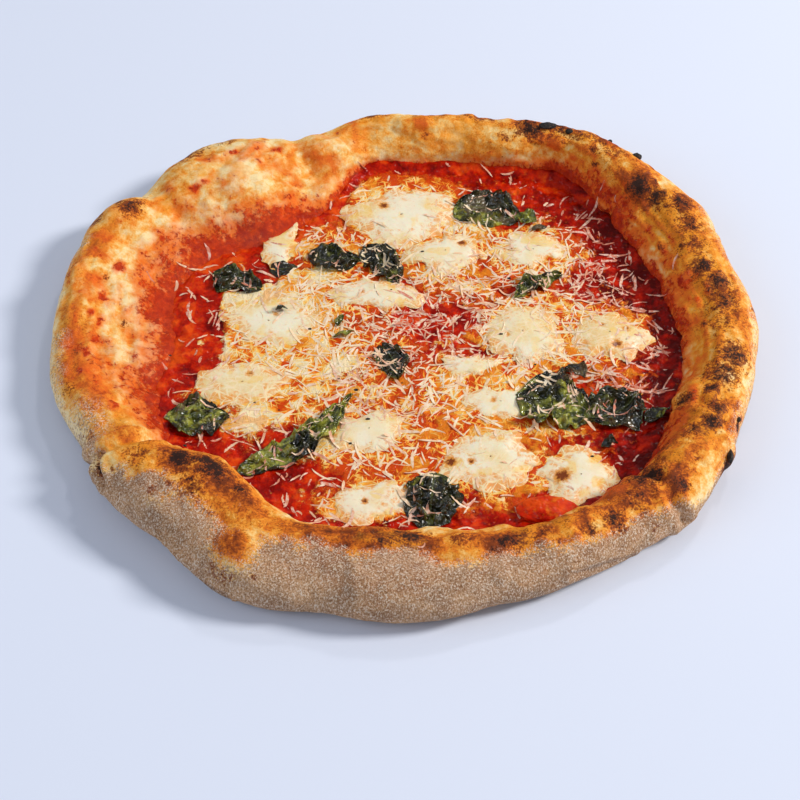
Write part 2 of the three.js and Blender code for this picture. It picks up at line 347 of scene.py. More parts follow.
def tomatoSauce():
    material, place = newMaterial("tomato_sauce", Subsurface_Weight=0.05, Subsurface_Scale=0.002,
                                  Specular_IOR_Level=0.12)
    film, oily, pulp_and_shadow, warm = paintedMasks(place, "film", "oily", "pulp_and_shadow", "warm")
    broad = noise(place, 110.0, 4.0, 0.6)
    mottle = noise(place, 420.0, 4.0, 0.65, 0.6)
    soft = noise(place, 380.0, 1.0, 0.5, 0.3)
    strands = useGroup(meltedStrands, {"Place": place})["Strands"]
    # the red is lighter where there is more pulp and darker where the rim's shadow is painted on the right
    depth = broad * 0.75 + mottle * 0.25 + pulp_and_shadow * 0.16
    red = colorSteps(depth, [(0.34, (88, 3, 1)), (0.47, (150, 12, 2)), (0.60, (196, 34, 4)),
                             (0.78, (226, 78, 14))])
    tone = warm + (mottle - 0.5) * 0.5 + (broad - 0.5) * 1.2 - (strands - 0.4) * 0.55
    melt = colorSteps(tone, [(0.10, (246, 224, 178)), (0.34, (249, 206, 122)), (0.54, (248, 176, 66)),
                             (0.70, (238, 124, 28)), (0.90, (206, 66, 10))])
    stained = ragged(film, place, 330.0, 2.0, 0.36, 0.16)
    covered = ragged(film, place, 460.0, 2.0, 0.46, 0.16)
    color = blend(stained * 0.7, red, srgb(212, 88, 24))
    color = blend(covered, color, melt)
    color = blend(ragged(oily, place, 240.0, 1.6, softness=0.2) * 0.55, color, srgb(238, 150, 36))
    roughness = wetness(place, 260.0, 0.04, 0.12) + covered * 0.12
    height = soft * (1.0 - covered * 0.7) + strands * 0.25 * covered
    return finish(material, color, roughness, height, 0.0011, 0.9)


def meltedCheese():
    material, place = newMaterial("melted_mozzarella", Subsurface_Weight=0.15, Subsurface_Scale=0.003,
                                  Specular_IOR_Level=0.25)
    rim, brown, oily, cream = paintedMasks(place, "rim", "brown", "oily", "cream")
    broad = noise(place, 90.0)
    mottle = noise(place, 380.0, 4.0, 0.6, 0.5)
    strands = useGroup(meltedStrands, {"Place": place})["Strands"]
    creamy = cream + (broad - 0.5) * 1.2
    milk = colorSteps(creamy, [(0.15, (240, 229, 199)), (0.5, (236, 211, 158)), (0.9, (232, 188, 112))])
    milk = blend(spread(mottle, 0.52, 0.66, 0.0, 0.3), milk, srgb(243, 234, 210))
    milk = blend(strands * spread(creamy, 0.2, 0.6, 0.0, 0.45), milk, srgb(250, 238, 208))
    tint = blend(strands, srgb(234, 152, 66), srgb(250, 226, 176))
    color = blend(ragged(rim, place, 330.0, 2.0, 0.76, 0.26) * 0.9, milk, tint)
    color = blend(ragged(oily, place, 260.0, 1.6, softness=0.45) * 0.5, color, srgb(242, 196, 84))
    color = blend(ragged(brown, place, 700.0, 1.4, 0.35, 0.25) * 0.9, color, srgb(220, 138, 34))
    color = blend(ragged(brown, place, 900.0, 1.4, 0.68, 0.18), color, srgb(122, 54, 12))
    return finish(material, color, wetness(place, 180.0, 0.2, 0.42), mottle + broad * 1.5, 0.0003, 0.3)


def wiltedBasil():
    material, place = newMaterial("wilted_basil", Specular_IOR_Level=0.65)
    vein, green_and_lit_pleats, dry = paintedMasks(place, "vein", "green_and_lit_pleats", "dry")
    mottle = noise(place, 270.0, 3.0, 0.5, 0.6)
    pores = noise(place, 1300.0, 2.0)
    crumple = combine("ABSOLUTE", noise(place, 210.0, 1.0, 0.5, 0.6) - 0.5, 0.0)
    dark = blend(spread(mottle, 0.35, 0.65), srgb(9, 10, 4), srgb(44, 42, 15))
    green = blend(spread(mottle, 0.35, 0.65), srgb(58, 66, 14), srgb(164, 164, 62))
    # green in fresh patches and on the tops of the pleats, where light is painted
    color = blend(ragged(green_and_lit_pleats, place, 200.0, 2.0, softness=0.3) * 0.9, dark, green)
    color = blend(ragged(dry, place, 260.0, 2.0, softness=0.25), color, srgb(96, 80, 56))
    color = blend(spread(vein, 0.35, 0.9, 0.0, 0.3), color, srgb(124, 128, 62))
    height = mottle + pores * 0.08 - vein * 0.6 - crumple * 4.0
    return finish(material, color, wetness(place, 320.0, 0.08, 0.22), height, 0.0009, 0.9)


def hardCheese():
    material, place = newMaterial("shredded_hard_cheese", Specular_IOR_Level=0.35)
    tone, = paintedMasks(place, "tone")
    mottle = noise(place, 500.0)
    # a higher tone is pinker and darker, also where the rim's shadow is painted on the shreds at the right
    pale = colorSteps(tone, [(0.0, (244, 217, 172)), (0.5, (236, 190, 150)), (1.0, (212, 126, 98))])
    color = blend(spread(mottle, 0.45, 0.62, 0.0, 0.5), pale, srgb(250, 238, 220))
    height = grains(place, 1500.0)["Height"]
    return finish(material, color, spread(mottle, 0.35, 0.65, 0.35, 0.6), height, 0.0003, 0.5)


def burntBits():
    material, place = newMaterial("burnt_bits", Specular_IOR_Level=0.35)
    grain = grains(place, 900.0)
    color = blend(grain["Light"], srgb(24, 20, 18), srgb(84, 68, 56))
    roughness = spread(grain["Height"], 0.4, 0.6, 0.5, 0.85)
    return finish(material, color, roughness, grain["Height"], 0.0012, 0.9)


crustFinish, sauceFinish, cheeseFinish = bakedCrust(), tomatoSauce(), meltedCheese()
basilFinish, shredFinish, burntFinish = wiltedBasil(), hardCheese(), burntBits()
print("finishes made")


crust = {
    "around": 960,            # steps round the rim
    "sections": 180,          # places where the plain solid is measured
    "rows": {"floor": 18, "inner": 32, "outer": 26, "under": 14, "base": 4},
    "undersideRings": 4,
    "floorBand": 26,          # width of the floor that belongs to the rim's section, mm
    "fill": 17.0,             # how far the dough runs in over the floor at the left and back left, mm
    "unevenness": [(34, 1.3), (13, 0.9), (5.5, 0.36), (2.2, 0.14)],  # size and height of the swellings, mm
    "wrinkles": 0.55,         # height of the fine wrinkles along the rim, mm
    "blisters": 190,
    "smallBurns": 70,         # dots of char
    # places on the rim: degrees round it, and side (-1 inner foot, 0 crest, 1 widest, 2 lower edge)
    # bubbles: degrees, side, size, stretch along the rim and rise in mm
    "bubbles": [
        (-118, 0.5, 9, 1.1, 3.2), (-128, -0.2, 20, 1.2, 1.8), (-97, -0.1, 12, 1.8, 1.2),
        (-60, 0.2, 14, 1.4, 1.2), (-48, -0.2, 10, 1.2, 2), (-33, -0.2, 13, 1, 2.2), (-27, 0.95, 6, 1.2, 2),
        (-19, -0.5, 9, 1.6, 1.8), (-5, 0, 13, 1.2, 1.5), (18, 0.1, 14, 1.2, 1.3), (37, -0.1, 9, 1, 1.8),
        (70, -0.4, 14, 1.3, 1.4), (96, 0.05, 22, 1.7, -4.5), (60, 0.1, 22, 2.2, -2.5),
        (108, -0.5, 12, 1, 1.6), (126, -0.75, 24, 1, 3), (104, -0.7, 12, 1.2, 1.6),
        (168, -0.8, 14, 1.4, 1.2), (138, 0.1, 14, 1, 1.2), (152, 0.1, 13, 1.1, 2.2),
        (163, -0.3, 12, 1.3, 1.4), (176, 0.1, 16, 1.2, 1.6), (-172, -0.4, 14, 1.1, 1),
        (-160, 0.1, 13, 1.1, 1.4), (-62, 1.1, 24, 1.7, 2.6), (-90, 1.1, 24, 1.7, 3.6),
        (-116, 1.2, 22, 1.6, 4.6), (33, 0.8, 22, 1.3, 4.6), (152, 0.8, 20, 1.2, 4.6),
        (24, 0.9, 18, 1.2, 2)],
    # creases: the places they run through, width, depth and the lip beside them in mm
    "creases": [
        ([(-148, -0.9), (-147, -0.2), (-149, 0.5), (-151, 1.2)], 3, 3.6, 1.2),
        ([(-131, 0.9), (-125, 1.15), (-117, 1.05)], 1.3, 1.6, 1.2),
        ([(-42, -0.9), (-41, -0.2), (-43, 0.5), (-42, 1.1)], 2.4, 3, 1),
        ([(-22, -1), (-21, -0.2), (-25, 0.5)], 2.2, 1.6, 0.8),
        ([(112, -0.9), (114, 0), (113, 0.8)], 4, 2, 0), ([(40, -1), (41, -0.4)], 3, 2, 0.6),
        ([(1, -1), (2, -0.3)], 2.6, 1.8, 0.6), ([(145, -0.6), (144, 0.2), (146, 0.9)], 4, 1.8, 0),
        ([(-149, 0.55), (-146.5, 0.68), (-144.5, 0.8)], 1.8, 3.4, 1.5),
        ([(-157, -0.9), (-160, -0.2)], 1.5, 1, 0.6), ([(-166, -0.9), (-168, -0.2)], 1.5, 0.8, 0.5),
        ([(-173, -0.9), (-174, -0.3)], 1.8, 0.8, 0.5), ([(-63, 0.9), (-52, 1.2)], 1.5, 0.8, 0.5)],
    # burnt places: degrees, side, size in mm, stretch and how dark
    "scorches": [
        (64, -0.05, 6, 1.6, 1), (58, 0.1, 7, 1.4, 0.8), (52, 0.1, 6, 1.3, 0.6), (47, 0, 5, 1.2, 0.6),
        (44, 0.4, 3, 1, 0.9), (37, -0.12, 7, 1, 1.15), (33, -0.05, 6, 1.1, 1), (29, 0.2, 6, 1.2, 0.9),
        (24, 0.1, 7, 1.2, 0.7), (19, 0, 6, 1.3, 0.6), (13, -0.1, 6, 1.1, 0.95), (9, 0.05, 6, 1.2, 0.95),
        (4, 0, 8, 1.3, 0.75), (-1, -0.1, 7, 1.1, 0.5), (-9, 0.15, 8, 1, 0.95), (-14, 0, 8, 1.1, 0.85),
        (-18, -0.1, 4, 1, 1.1), (-21, -0.45, 5, 0.9, 0.95), (-22, 0.1, 5, 1.2, 0.9),
        (-22, 0.75, 2.6, 1, 1.1), (-26, 0.1, 5, 1.1, 0.95), (-29, -0.1, 5, 1, 0.85),
        (-34, -0.45, 5, 1.1, 0.7), (-29, 1, 4.5, 1.5, 1.2), (-42, -0.3, 7, 1.4, 1.15),
        (-40, 0.25, 5, 1, 0.85), (-47, 0, 7, 1.4, 0.7), (-53, 0.25, 5.5, 1, 0.9), (-58, 0.2, 4, 1, 0.75),
        (-66, 0, 4, 1.5, 0.6), (-72, 0, 5.5, 1.8, 0.9), (-79, -0.05, 4, 1.6, 0.6),
        (-89, -0.1, 5.5, 1.6, 0.95), (-94, 0.05, 4, 1.2, 0.8), (-100, -0.1, 4, 1.4, 0.5),
        (-110, -0.2, 3.5, 1.3, 0.6), (-118, 0.85, 4.5, 1.8, 0.42), (-125, 0.3, 3, 1, 0.5),
        (-124, -0.1, 5, 1.5, 0.7), (-131, -0.1, 7, 1.6, 1.1), (-137, 0, 6, 1.4, 1.1),
        (-131, 0.25, 6, 1.2, 0.7), (-143, 0.2, 6, 1.2, 0.45), (-149, 0.8, 5, 1, 0.7),
        (-154, 0.6, 5, 1, 0.45), (151, 0.1, 6, 1.3, 0.85), (156, 0.5, 4, 1.4, 0.6), (133, 0.6, 7, 1.5, 0.7),
        (126, 0.5, 5, 1.4, 0.5), (96, 0.35, 4, 1.8, 0.6), (84, 0.4, 6, 1.5, 0.6), (75, 0.3, 6, 1.5, 0.55),
        (168, 0.5, 4, 1.2, 0.45), (-165, 0.4, 4, 1.2, 0.4), (-67, 1.7, 4, 1.2, 0.6),
        (-78, 1.8, 3, 1.2, 0.5), (-147, 0.68, 2.6, 1.6, 1.1)],
    # splashes of sauce: degrees, side, size and amount
    "splashes": [
        (177, -0.2, 2.4, 1.2), (172, -0.33, 3, 1.25), (178, -0.35, 3.2, 1.2), (-177, -0.27, 3, 1.2),
        (164, -0.55, 3, 1.2), (-173, -0.15, 2.6, 1.2), (-169, -0.4, 3, 1.1), (-159, -0.2, 2.6, 1.1),
        (139, -0.21, 2.6, 1.2), (137, -0.18, 2.2, 1.1), (127, 0.1, 2.4, 1), (118, -0.1, 3, 1.1)],
    # flour left above the floury wall: degrees, side, size and amount
    "dustings": [
        (163, 0.75, 9, 0.9), (174, 0.8, 8, 0.9), (-157, 0.55, 11, 0.9)],
    # how baked, burnt, floury, sauced and oily the underside is
    "underneath": {"bake_and_shade": 0.42, "char": 0.12, "flour": 0.75, "smear": 0.0, "oily": 0.0},
}
footLevel, edgeLevel = 5.2, 9.0  # heights where the rim's foot and its outer edge are found, mm
doughTop = 5.6  # where dough that runs in over the floor starts, mm
skyLevel = 90.0  # rays looking for a top start from this height, mm
topSamples, wallSamples = 78, 60  # places measured over the rim's top and round its outer wall
downward = Vector((0, 0, -1))
crustTree = solidTree("crust")


def reach(start, way):
    place = crustTree.ray_cast(start, way)[0]
    return hypot(place.x, place.y), place.z


def evenly(line, count):
    # a line's points again, at equal steps along it
    line = np.array(line)
    run = np.concatenate([[0], np.cumsum(np.hypot(*np.diff(line, axis=0).T))])
    steps = np.linspace(0, run[-1], count + 1)[:-1]
    return joined(np.interp(steps, run, line[:, 0]), np.interp(steps, run, line[:, 1]))


def fillAt(degree):
    # how far in from the plain foot the dough starts to rise
    turn = np.asarray(degree) % 360
    return crust["fill"] * ease(turn, 96, 116) * ease(turn, 208, 182)


def crustSection(angle):
    # radius and height of the rim's section at one angle, from the floor round to the underside
    out = Vector((cos(angle), sin(angle), 0))
    foot = reach(Vector((0, 0, footLevel)), out)[0]
    edge = reach(out * 300 + Vector((0, 0, edgeLevel)), -out)[0]
    tops = [(r, reach(out * r + Vector((0, 0, skyLevel)), downward)[1])
            for r in np.linspace(foot - crust["floorBand"], edge - 3, topSamples)]
    crest = max(range(len(tops)), key=lambda k: tops[k][1])
    middle = (tops[crest][0], tops[crest][1] * 0.4)
    wall = []
    for turn in np.radians(np.linspace(90, -66, wallSamples)):
        way = out * cos(turn) + Vector((0, 0, sin(turn)))
        wall.append(reach(out * middle[0] + Vector((0, 0, middle[1])), way))
    widest = max(range(len(wall)), key=lambda k: wall[k][0])
    start = next(k for k, (r, z) in enumerate(tops) if r > foot - 1)
    fill = float(fillAt(np.degrees(angle)))
    if fill > 0.5:
        low, (highR, highZ) = foot - fill, tops[start + int(0.62 * (crest - start))]
        steep = (highZ - doughTop) / (highR - low)
        tops = [(r, max(z, doughTop + (r - low) * steep) if low < r < highR else z) for r, z in tops]
    base = [wall[-1], (wall[-1][0] - 3, 0.2), (middle[0], 0.0), (middle[0] - 14, 0.0)]
    lines = [tops[:start + 1], tops[start:crest + 1], wall[:widest + 1], wall[widest:], base]
    return np.concatenate([evenly(line, count) for line, count in zip(lines, crust["rows"].values())])


def drawnIn(values, passes, axis=0):
    # a closed line's values, each moved towards its neighbours
    for _ in range(passes):
        values = (np.roll(values, 1, axis) + 2 * values + np.roll(values, -1, axis)) / 4
    return values


around, ringCount = crust["around"], crust["undersideRings"]
sections = np.stack([crustSection(angle) for angle in fullTurn(crust["sections"])], axis=1)
sections = drawnIn(sections, 3, axis=1)  # rows, angles, (radius, height)
for _ in range(3):
    sections[1:-1] = (sections[:-2] + 2 * sections[1:-1] + sections[2:]) / 4
fine = np.fft.irfft(np.fft.rfft(sections, axis=1), n=around, axis=1) * around / crust["sections"]
radius, height = fine[..., 0], np.maximum(fine[..., 1], 0)
turns = fullTurn(around)
crustPoints = joined(radius * np.cos(turns), radius * np.sin(turns), height)
degrees = np.broadcast_to(np.degrees(turns), radius.shape)

ends = np.cumsum([0, *crust["rows"].values()])
sideOfRow = np.interp(np.arange(ends[-1]), ends, [-1.6, -1, 0, 1, 2, 3])
side = np.broadcast_to(sideOfRow[:, None], radius.shape)


def rimPoint(at, level):
    row = int(round(np.interp(level, sideOfRow, np.arange(len(sideOfRow)))))
    return crustPoints[row, int(round(at / 360 * around)) % around]


def nearness(at, level, size, stretch):
    # distance from a place on the rim, as a share of the size, stretched along the rim
    away = crustPoints - rimPoint(at, level)
    along = away @ np.array([-sin(radians(at)), cos(radians(at)), 0])
    across = np.sqrt(np.maximum((away ** 2).sum(-1) - along ** 2, 0))
    return np.hypot(along / (size * stretch), across / size)


def surfaceNormals(points):
    downRows = np.gradient(points, axis=0)
    acrossColumns = (np.roll(points, -1, axis=1) - np.roll(points, 1, axis=1)) / 2
    normals = np.cross(downRows, acrossColumns)
    return normals / np.maximum(np.linalg.norm(normals, axis=-1, keepdims=True), 1e-9)


rise = sum(amount * lumps(crustPoints, size, int(size * 10)) for size, amount in crust["unevenness"])
calm = 1 - 0.6 * ease(side, 0.2, 0.6)  # the outer wall is smoother
bulk = rise * calm
upTheSide = np.cumsum(np.linalg.norm(np.diff(crustPoints, axis=0, prepend=crustPoints[:1]), axis=-1), axis=0)
wrinkled = joined(12 * np.cos(turns), 12 * np.sin(turns), upTheSide / 3.2)
rise = bulk + crust["wrinkles"] * calm * lumps(wrinkled, 1.0, 44, 3)
fineRelief = (rise - bulk) / crust["wrinkles"] + 0.6 * lumps(crustPoints, 2.2, 22)
for at, level, size, stretch, amount in crust["bubbles"]:
    rise += amount * np.clip(1 - nearness(at, level, size, stretch) ** 2, 0, None) ** 0.9
for at in dice.uniform(0, 360, crust["blisters"]):
    level, size = dice.uniform(-0.8, 0.7), dice.uniform(2.0, 6.5)
    near = nearness(at, level, size, dice.uniform(0.8, 1.5))
    rise += size * dice.uniform(0.06, 0.2) * np.clip(1 - near ** 2, 0, None)
for line, width, depth, lip in crust["creases"]:
    nearest = np.full(radius.shape, 1e9)
    places = [rimPoint(at, s) for at, s in line]
    for start, end in zip(places[:-1], places[1:]):
        run = end - start
        share = np.clip(((crustPoints - start) @ run) / (run @ run), 0, 1)
        nearest = np.minimum(nearest, np.linalg.norm(crustPoints - start - share[..., None] * run, axis=-1))
    rise += lip * peak((nearest - 2.2 * width) / width) - depth * peak(nearest / width)
rests = np.where(side < 0, 4.4, 0.3)  # flat on the floor and where it rests
free = ease(crustPoints[..., 2], rests, rests + np.where(side < 0, 2.5, 4.7))
crustPoints = crustPoints + (rise * free)[..., None] * surfaceNormals(crustPoints)
crustPoints[..., 2] = np.maximum(crustPoints[..., 2], 0)


def facing(at, width):
    # 1 at an angle round the rim and fading to 0 at that width on both sides
    return ease(np.abs((degrees - at + 180) % 360 - 180), width, width * 0.55)


wide, medium, small = (lumps(crustPoints, size, seed) for size, seed in ((22, 5), (9, 6), (3.5, 8)))
bake_and_shade = 0.30 + 0.13 * wide + 0.10 * medium + 0.07 * small
toTheRight = facing(5, 95)  # tops burn on the right; on the left they stay pale and the creases between them are darker, painted shade
bake_and_shade += fineRelief * (0.22 * toTheRight - 0.12 * (1 - toTheRight))
bake_and_shade += 0.26 * peak((side - 0.05) / 0.45)  # the crest takes the most heat
bake_and_shade += 0.16 * facing(0, 80) * ease(side, 0.0, -0.3)  # the inner wall there is a deep gold
hotter = 0.05 * facing(10, 75) - 0.10 * facing(160, 60) - 0.08 * facing(95, 40)
bake_and_shade += hotter * ease(side, -0.9, -0.2)
bake_and_shade += 0.12 * facing(-90, 60) * peak((side + 0.05) / 0.2)
paler = (0.14 - 0.12 * facing(125, 70) + 0.03 * facing(180, 40)) * (1 - facing(10, 60))
bake_and_shade -= paler * ease(side, 0.4, 0.9)
bake_and_shade -= 0.10 * peak(side / 0.4) * (1.5 * facing(95, 50) + 0.9 * facing(5, 40))
char = np.zeros(radius.shape)
for at, level, size, stretch, amount in crust["scorches"]:
    char = np.maximum(char, amount * peak(nearness(at, level, size, stretch), 0.9))
for _ in range(crust["smallBurns"]):
    at, level = dice.choice([dice.uniform(-60, 75), dice.uniform(-180, 180)]), dice.normal(0.0, 0.4)
    near = nearness(at, level, dice.uniform(1.2, 3.0), dice.uniform(1.0, 1.8))
    char = np.maximum(char, dice.uniform(0.35, 0.8) * peak(near))
bake_and_shade += 0.22 * char + 0.55 * peak(nearness(-118, 0.55, 9, 1.1), 1.1)
flourFrom = 0.75 - 0.55 * facing(-95, 72) - 0.14 * facing(-92, 38) - 0.3 * facing(180, 40)
patchy = 0.12 + 0.2 * facing(180, 50)
flour = ease(side + patchy * (wide + 0.9 * medium), flourFrom, flourFrom + 0.4)
dusted = 0.36 * ease(side + 0.1 * medium, 0.35, 0.7) * facing(20, 62)
flour = np.maximum(flour, dusted)
flour *= 1 - 0.95 * peak(nearness(-118, 0.5, 11, 1.1) ** 2, 0.9)
for at, level, size, amount in crust["dustings"]:
    flour = np.maximum(flour, amount * peak(nearness(at, level, size, 1.4)))
flour *= 1 - 0.6 * np.clip(char, 0, 1)
flour *= 1 - 0.62 * facing(172, 44) * ease(side, 1.5, 1.1)
saucy = np.clip(facing(156, 68) + 0.35 * facing(90, 50), 0, 1)  # where sauce was spread up the wall
fromFoot = upTheSide - upTheSide[ends[1]] + fillAt(degrees)  # mm up from where the dough starts
shaded = facing(5, 80)  # thinner and streaked on the right
reachUp = 10 - 3.5 * facing(92, 40) + 17 * facing(165, 60)
reachUp += shaded * (4 + 9 * ease(wide, -0.5, 0.3))
smear = np.clip(1.35 - fromFoot / reachUp, 0, 1.35) * ease(side, 0.75, 0.3)
smear = np.maximum(smear, 0.41 * saucy * ease(side, 0.5, 0.1))
smear = np.maximum(smear, 0.40 * shaded * ease(side, 0.0, -0.4))
smear += (0.26 * medium + 0.14 * small + 0.26 * shaded * fineRelief) * (smear > 0.02)
for at, level, size, amount in crust["splashes"]:
    smear = np.maximum(smear, amount * peak(nearness(at, level, 1.2 * size, 1.5)) * (0.8 + 0.5 * small))
smear = np.clip(smear, 0, 1.35)
oily = 0.75 * ease(lumps(crustPoints, 16, 41), 0.05, 0.5) + 0.6 * facing(0, 40)
oily *= peak((side + 0.1) / 0.6)

underside = [crustPoints[-1] * (share, share, 0) for share in np.linspace(1, 0.08, ringCount + 1)[1:]]
allPoints = np.concatenate([crustPoints, underside])
crustFaces = gridFaces(len(allPoints), around, True).tolist()
crustFaces.append(list(range((len(allPoints) - 1) * around, len(allPoints) * around)))
crustFaces.append(list(range(around))[::-1])
crustMasks = {"bake_and_shade": bake_and_shade, "char": char, "flour": flour, "smear": smear, "oily": oily}
for key, amount in crust["underneath"].items():
    crustMasks[key] = np.concatenate([crustMasks[key], np.full((ringCount, around), amount)])
crustPiece = makePiece("baked_crust", allPoints, crustFaces, crustFinish, crustMasks, "crust")
print("crust made", len(crustFaces))


# places here are x and y in mm; patches are x, y, length, width, turn in degrees and amount
sauce = {
    "reach": 150, "pitch": 0.9,  # how far out the surface is tried, and its points' spacing, mm
    "lumps": [(9, 0.6), (3.6, 0.5), (1.8, 0.2)],
    "film": 1.0,  # how thick the melted cheese stands on the sauce, mm
    "climb": 2.4,  # how far the sauce climbs at the rim's foot, mm
    # where cheese has melted thin over the sauce
    "films": [
        (-58, 6, 74, 62, -15, 1.3), (-40, 28, 66, 40, 5, 1.15), (-20, 2, 60, 44, 0, 0.55),
        (0, 80, 80, 82, 60, 1), (60, 58, 52, 42, 0, 0.9), (70, 8, 88, 46, -8, 1),
        (40, -30, 84, 52, -12, 0.9), (40, -72, 62, 56, 10, 0.9), (76, -80, 36, 34, 0, 0.7),
        (-12, -62, 70, 40, 20, 0.85), (-20, -92, 52, 30, 10, 0.8), (-70, -34, 56, 40, 5, 0.8),
        (-44, 74, 44, 40, 60, 0.7), (8, -28, 60, 50, 0, 0.5), (96, -22, 34, 22, -30, 0.45),
        (-84, 52, 22, 22, 0, 0.5), (-28, -36, 60, 34, 10, 0.6), (26, 40, 40, 24, 0, 0.6)],
    # where sauce shows through it
    "gaps": [
        (-98, 10, 22, 70, 0, 0.9), (12, 12, 44, 20, 10, 0.75), (-24, 14, 24, 14, 20, 0.35),
        (-30, -86, 20, 12, 0, 0.4), (-52, -78, 30, 16, 20, 0.5), (-84, -44, 20, 10, 0, 0.4),
        (58, -60, 24, 10, 20, 0.5), (28, -12, 44, 17, 10, 0.6), (-62, 88, 16, 16, 0, 0.5),
        (-30, 88, 14, 24, 0, 0.6), (-70, 46, 18, 12, 0, 0.4), (46, -94, 40, 14, 0, 0.5)],
}
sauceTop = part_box("tomato_sauce")[1].z / mm
foot = radius[ends[1]] - fillAt(np.degrees(turns))


def footAt(x, y):
    # radius of the rim's foot in the direction of a place
    turn = (np.degrees(np.arctan2(y, x)) % 360) / 360 * around
    return np.interp(turn, np.arange(around + 1), np.append(foot, foot[0]))


def patchwork(x, y, patches, softness=0.35):
    # how strongly soft-edged oval patches cover each place
    total = np.zeros(np.shape(x))
    for px, py, long, wide, turn, amount in patches:
        u, v = turned(x - px, y - py, -turn)
        share = np.hypot(u / (long / 2), v / (wide / 2))
        total = np.maximum(total, amount * ease(share, 1 + softness, 1 - softness))
    return total


def heightAt(line, heights, x, y):
    # height between the measured places of a square grid
    step = line[1] - line[0]
    u = np.clip((np.asarray(x) - line[0]) / step, 0, len(line) - 1.001)
    v = np.clip((np.asarray(y) - line[0]) / step, 0, len(line) - 1.001)
    row, column = u.astype(int), v.astype(int)
    a, b = u - row, v - column
    return ((1 - a) * (1 - b) * heights[row, column] + a * (1 - b) * heights[row + 1, column]
            + (1 - a) * b * heights[row, column + 1] + a * b * heights[row + 1, column + 1])


axis = np.arange(-sauce["reach"], sauce["reach"] + sauce["pitch"], sauce["pitch"])
gridX, gridY = np.meshgrid(axis, axis, indexing="ij")
flat = joined(gridX, gridY, 0.0)
depthIn = footAt(gridX, gridY) - np.hypot(gridX, gridY)  # distance in from the rim's foot
warpX = gridX + 5 * lumps(flat, 14, 61) + 2.5 * lumps(flat, 5, 62)
warpY = gridY + 5 * lumps(flat, 14, 63) + 2.5 * lumps(flat, 5, 64)
film = patchwork(warpX, warpY, sauce["films"]) - patchwork(warpX, warpY, sauce["gaps"])
film = film * 1.15 + 0.05 + 0.24 * lumps(flat, 6, 65) + 0.12 * lumps(flat, 2.2, 66)
film = np.clip(film, 0, 1.2)
film *= ease(depthIn, 2, 12)
covered = ease(film, 0.25, 0.75)
bumpy = sum(amount * lumps(flat, size, 70 + int(size)) for size, amount in sauce["lumps"])
sauceHeight = sauceTop + bumpy * (1 - 0.75 * covered)  # the melted cheese levels the sauce
sauceHeight += sauce["film"] * covered * (0.85 + 0.2 * lumps(flat, 3, 67))
sloped = fillAt(np.degrees(np.arctan2(gridY, gridX))) / crust["fill"]
sauceHeight += sauce["climb"] * ease(depthIn, 6, -2) * (1 - sloped)
sauceHeight -= (0.5 * np.clip(-depthIn, 0, 6) + 0.9 * ease(depthIn, 5, 0)) * sloped
# lighter where there is more pulp; darker from x 76 mm to the right, a painted shadow of the rim on the sauce
pulp_and_shadow = ease(lumps(flat, 5, 68, 3), 0.1, 0.7) - 0.9 * ease(gridX, 76, 108)
pulp_and_shadow += 0.9 * ease(depthIn, 16, 0) * sloped  # thinner and lighter where it meets the slope
warm = 0.43 + 0.3 * ease(gridX, -50, 0)
for size, amount, seed in ((17, 0.28, 57), (6, 0.32, 58), (2.6, 0.14, 59)):
    warm += amount * lumps(flat, size, seed)
warm += 0.25 * ease(film, 0.85, 0.4)  # thinner cheese lets the sauce tint it
oilPool = 0.85 * ease(lumps(flat, 8, 69), 0.25, 0.7) * ease(film, 0.35, 0.6)
inside = depthIn > -5
number = np.full(gridX.shape, -1)
number[inside] = np.arange(inside.sum())
corners = joined(number[:-1, :-1], number[1:, :-1], number[1:, 1:], number[:-1, 1:]).reshape(-1, 4)
sauceFaces = corners[(corners >= 0).all(axis=1)].tolist()
sauceMasks = {"film": film[inside], "oily": oilPool[inside], "pulp_and_shadow": pulp_and_shadow[inside], "warm": warm[inside]}
saucePoints = joined(gridX, gridY, sauceHeight)[inside]
saucePiece = makePiece("tomato_sauce_surface", saucePoints, sauceFaces, sauceFinish,
                       sauceMasks, "tomato_sauce")
print("sauce made", len(sauceFaces))


pools = {
    "around": 150, "across": 44,
    "swell": 1.06, "frill": 0.1,  # how much wider than the plain pool, and how uneven its edge is
    "wander": 2.6,  # how far the edge runs out, mm
    "lumps": [(15, 0.25), (6, 0.06)],
    # browned spots: x, y, size and how brown
    "spots": [
        (-10, 92, 2.4, 1), (28, 66, 2.4, 1), (16, 108, 1.8, 0.8), (98, -2, 2.6, 0.9), (75, 11, 2.2, 0.9),
        (103, 8, 2, 0.7), (68, -80, 3.4, 1.1), (20, -72, 2.6, 1), (29, -72, 1.8, 0.8), (-17, -94, 1.8, 0.8),
        (92, 10, 1.4, 0.6), (-52, 70, 1.2, 0.6), (52, 62, 1.8, 0.7), (70, 56, 2, 0.7), (48, 4, 1.6, 0.6),
        (-20, 32, 1.6, 0.6), (-70, -20, 2, 0.7), (-60, 18, 1.8, 0.6), (60, -72, 1.6, 0.7),
        (40, -36, 1.6, 0.6)],
}


def poolOutline(name, middle, low):
    # the plain pool's radius at equal steps round it
    tree, start = solidTree(name), Vector((middle[0], middle[1], low + 0.3))
    edges = [tree.ray_cast(start, Vector((cos(angle), sin(angle), 0)))[0]
             for angle in fullTurn(pools["around"])]
    return drawnIn(np.array([hypot(edge.x - middle[0], edge.y - middle[1]) for edge in edges]), 4)


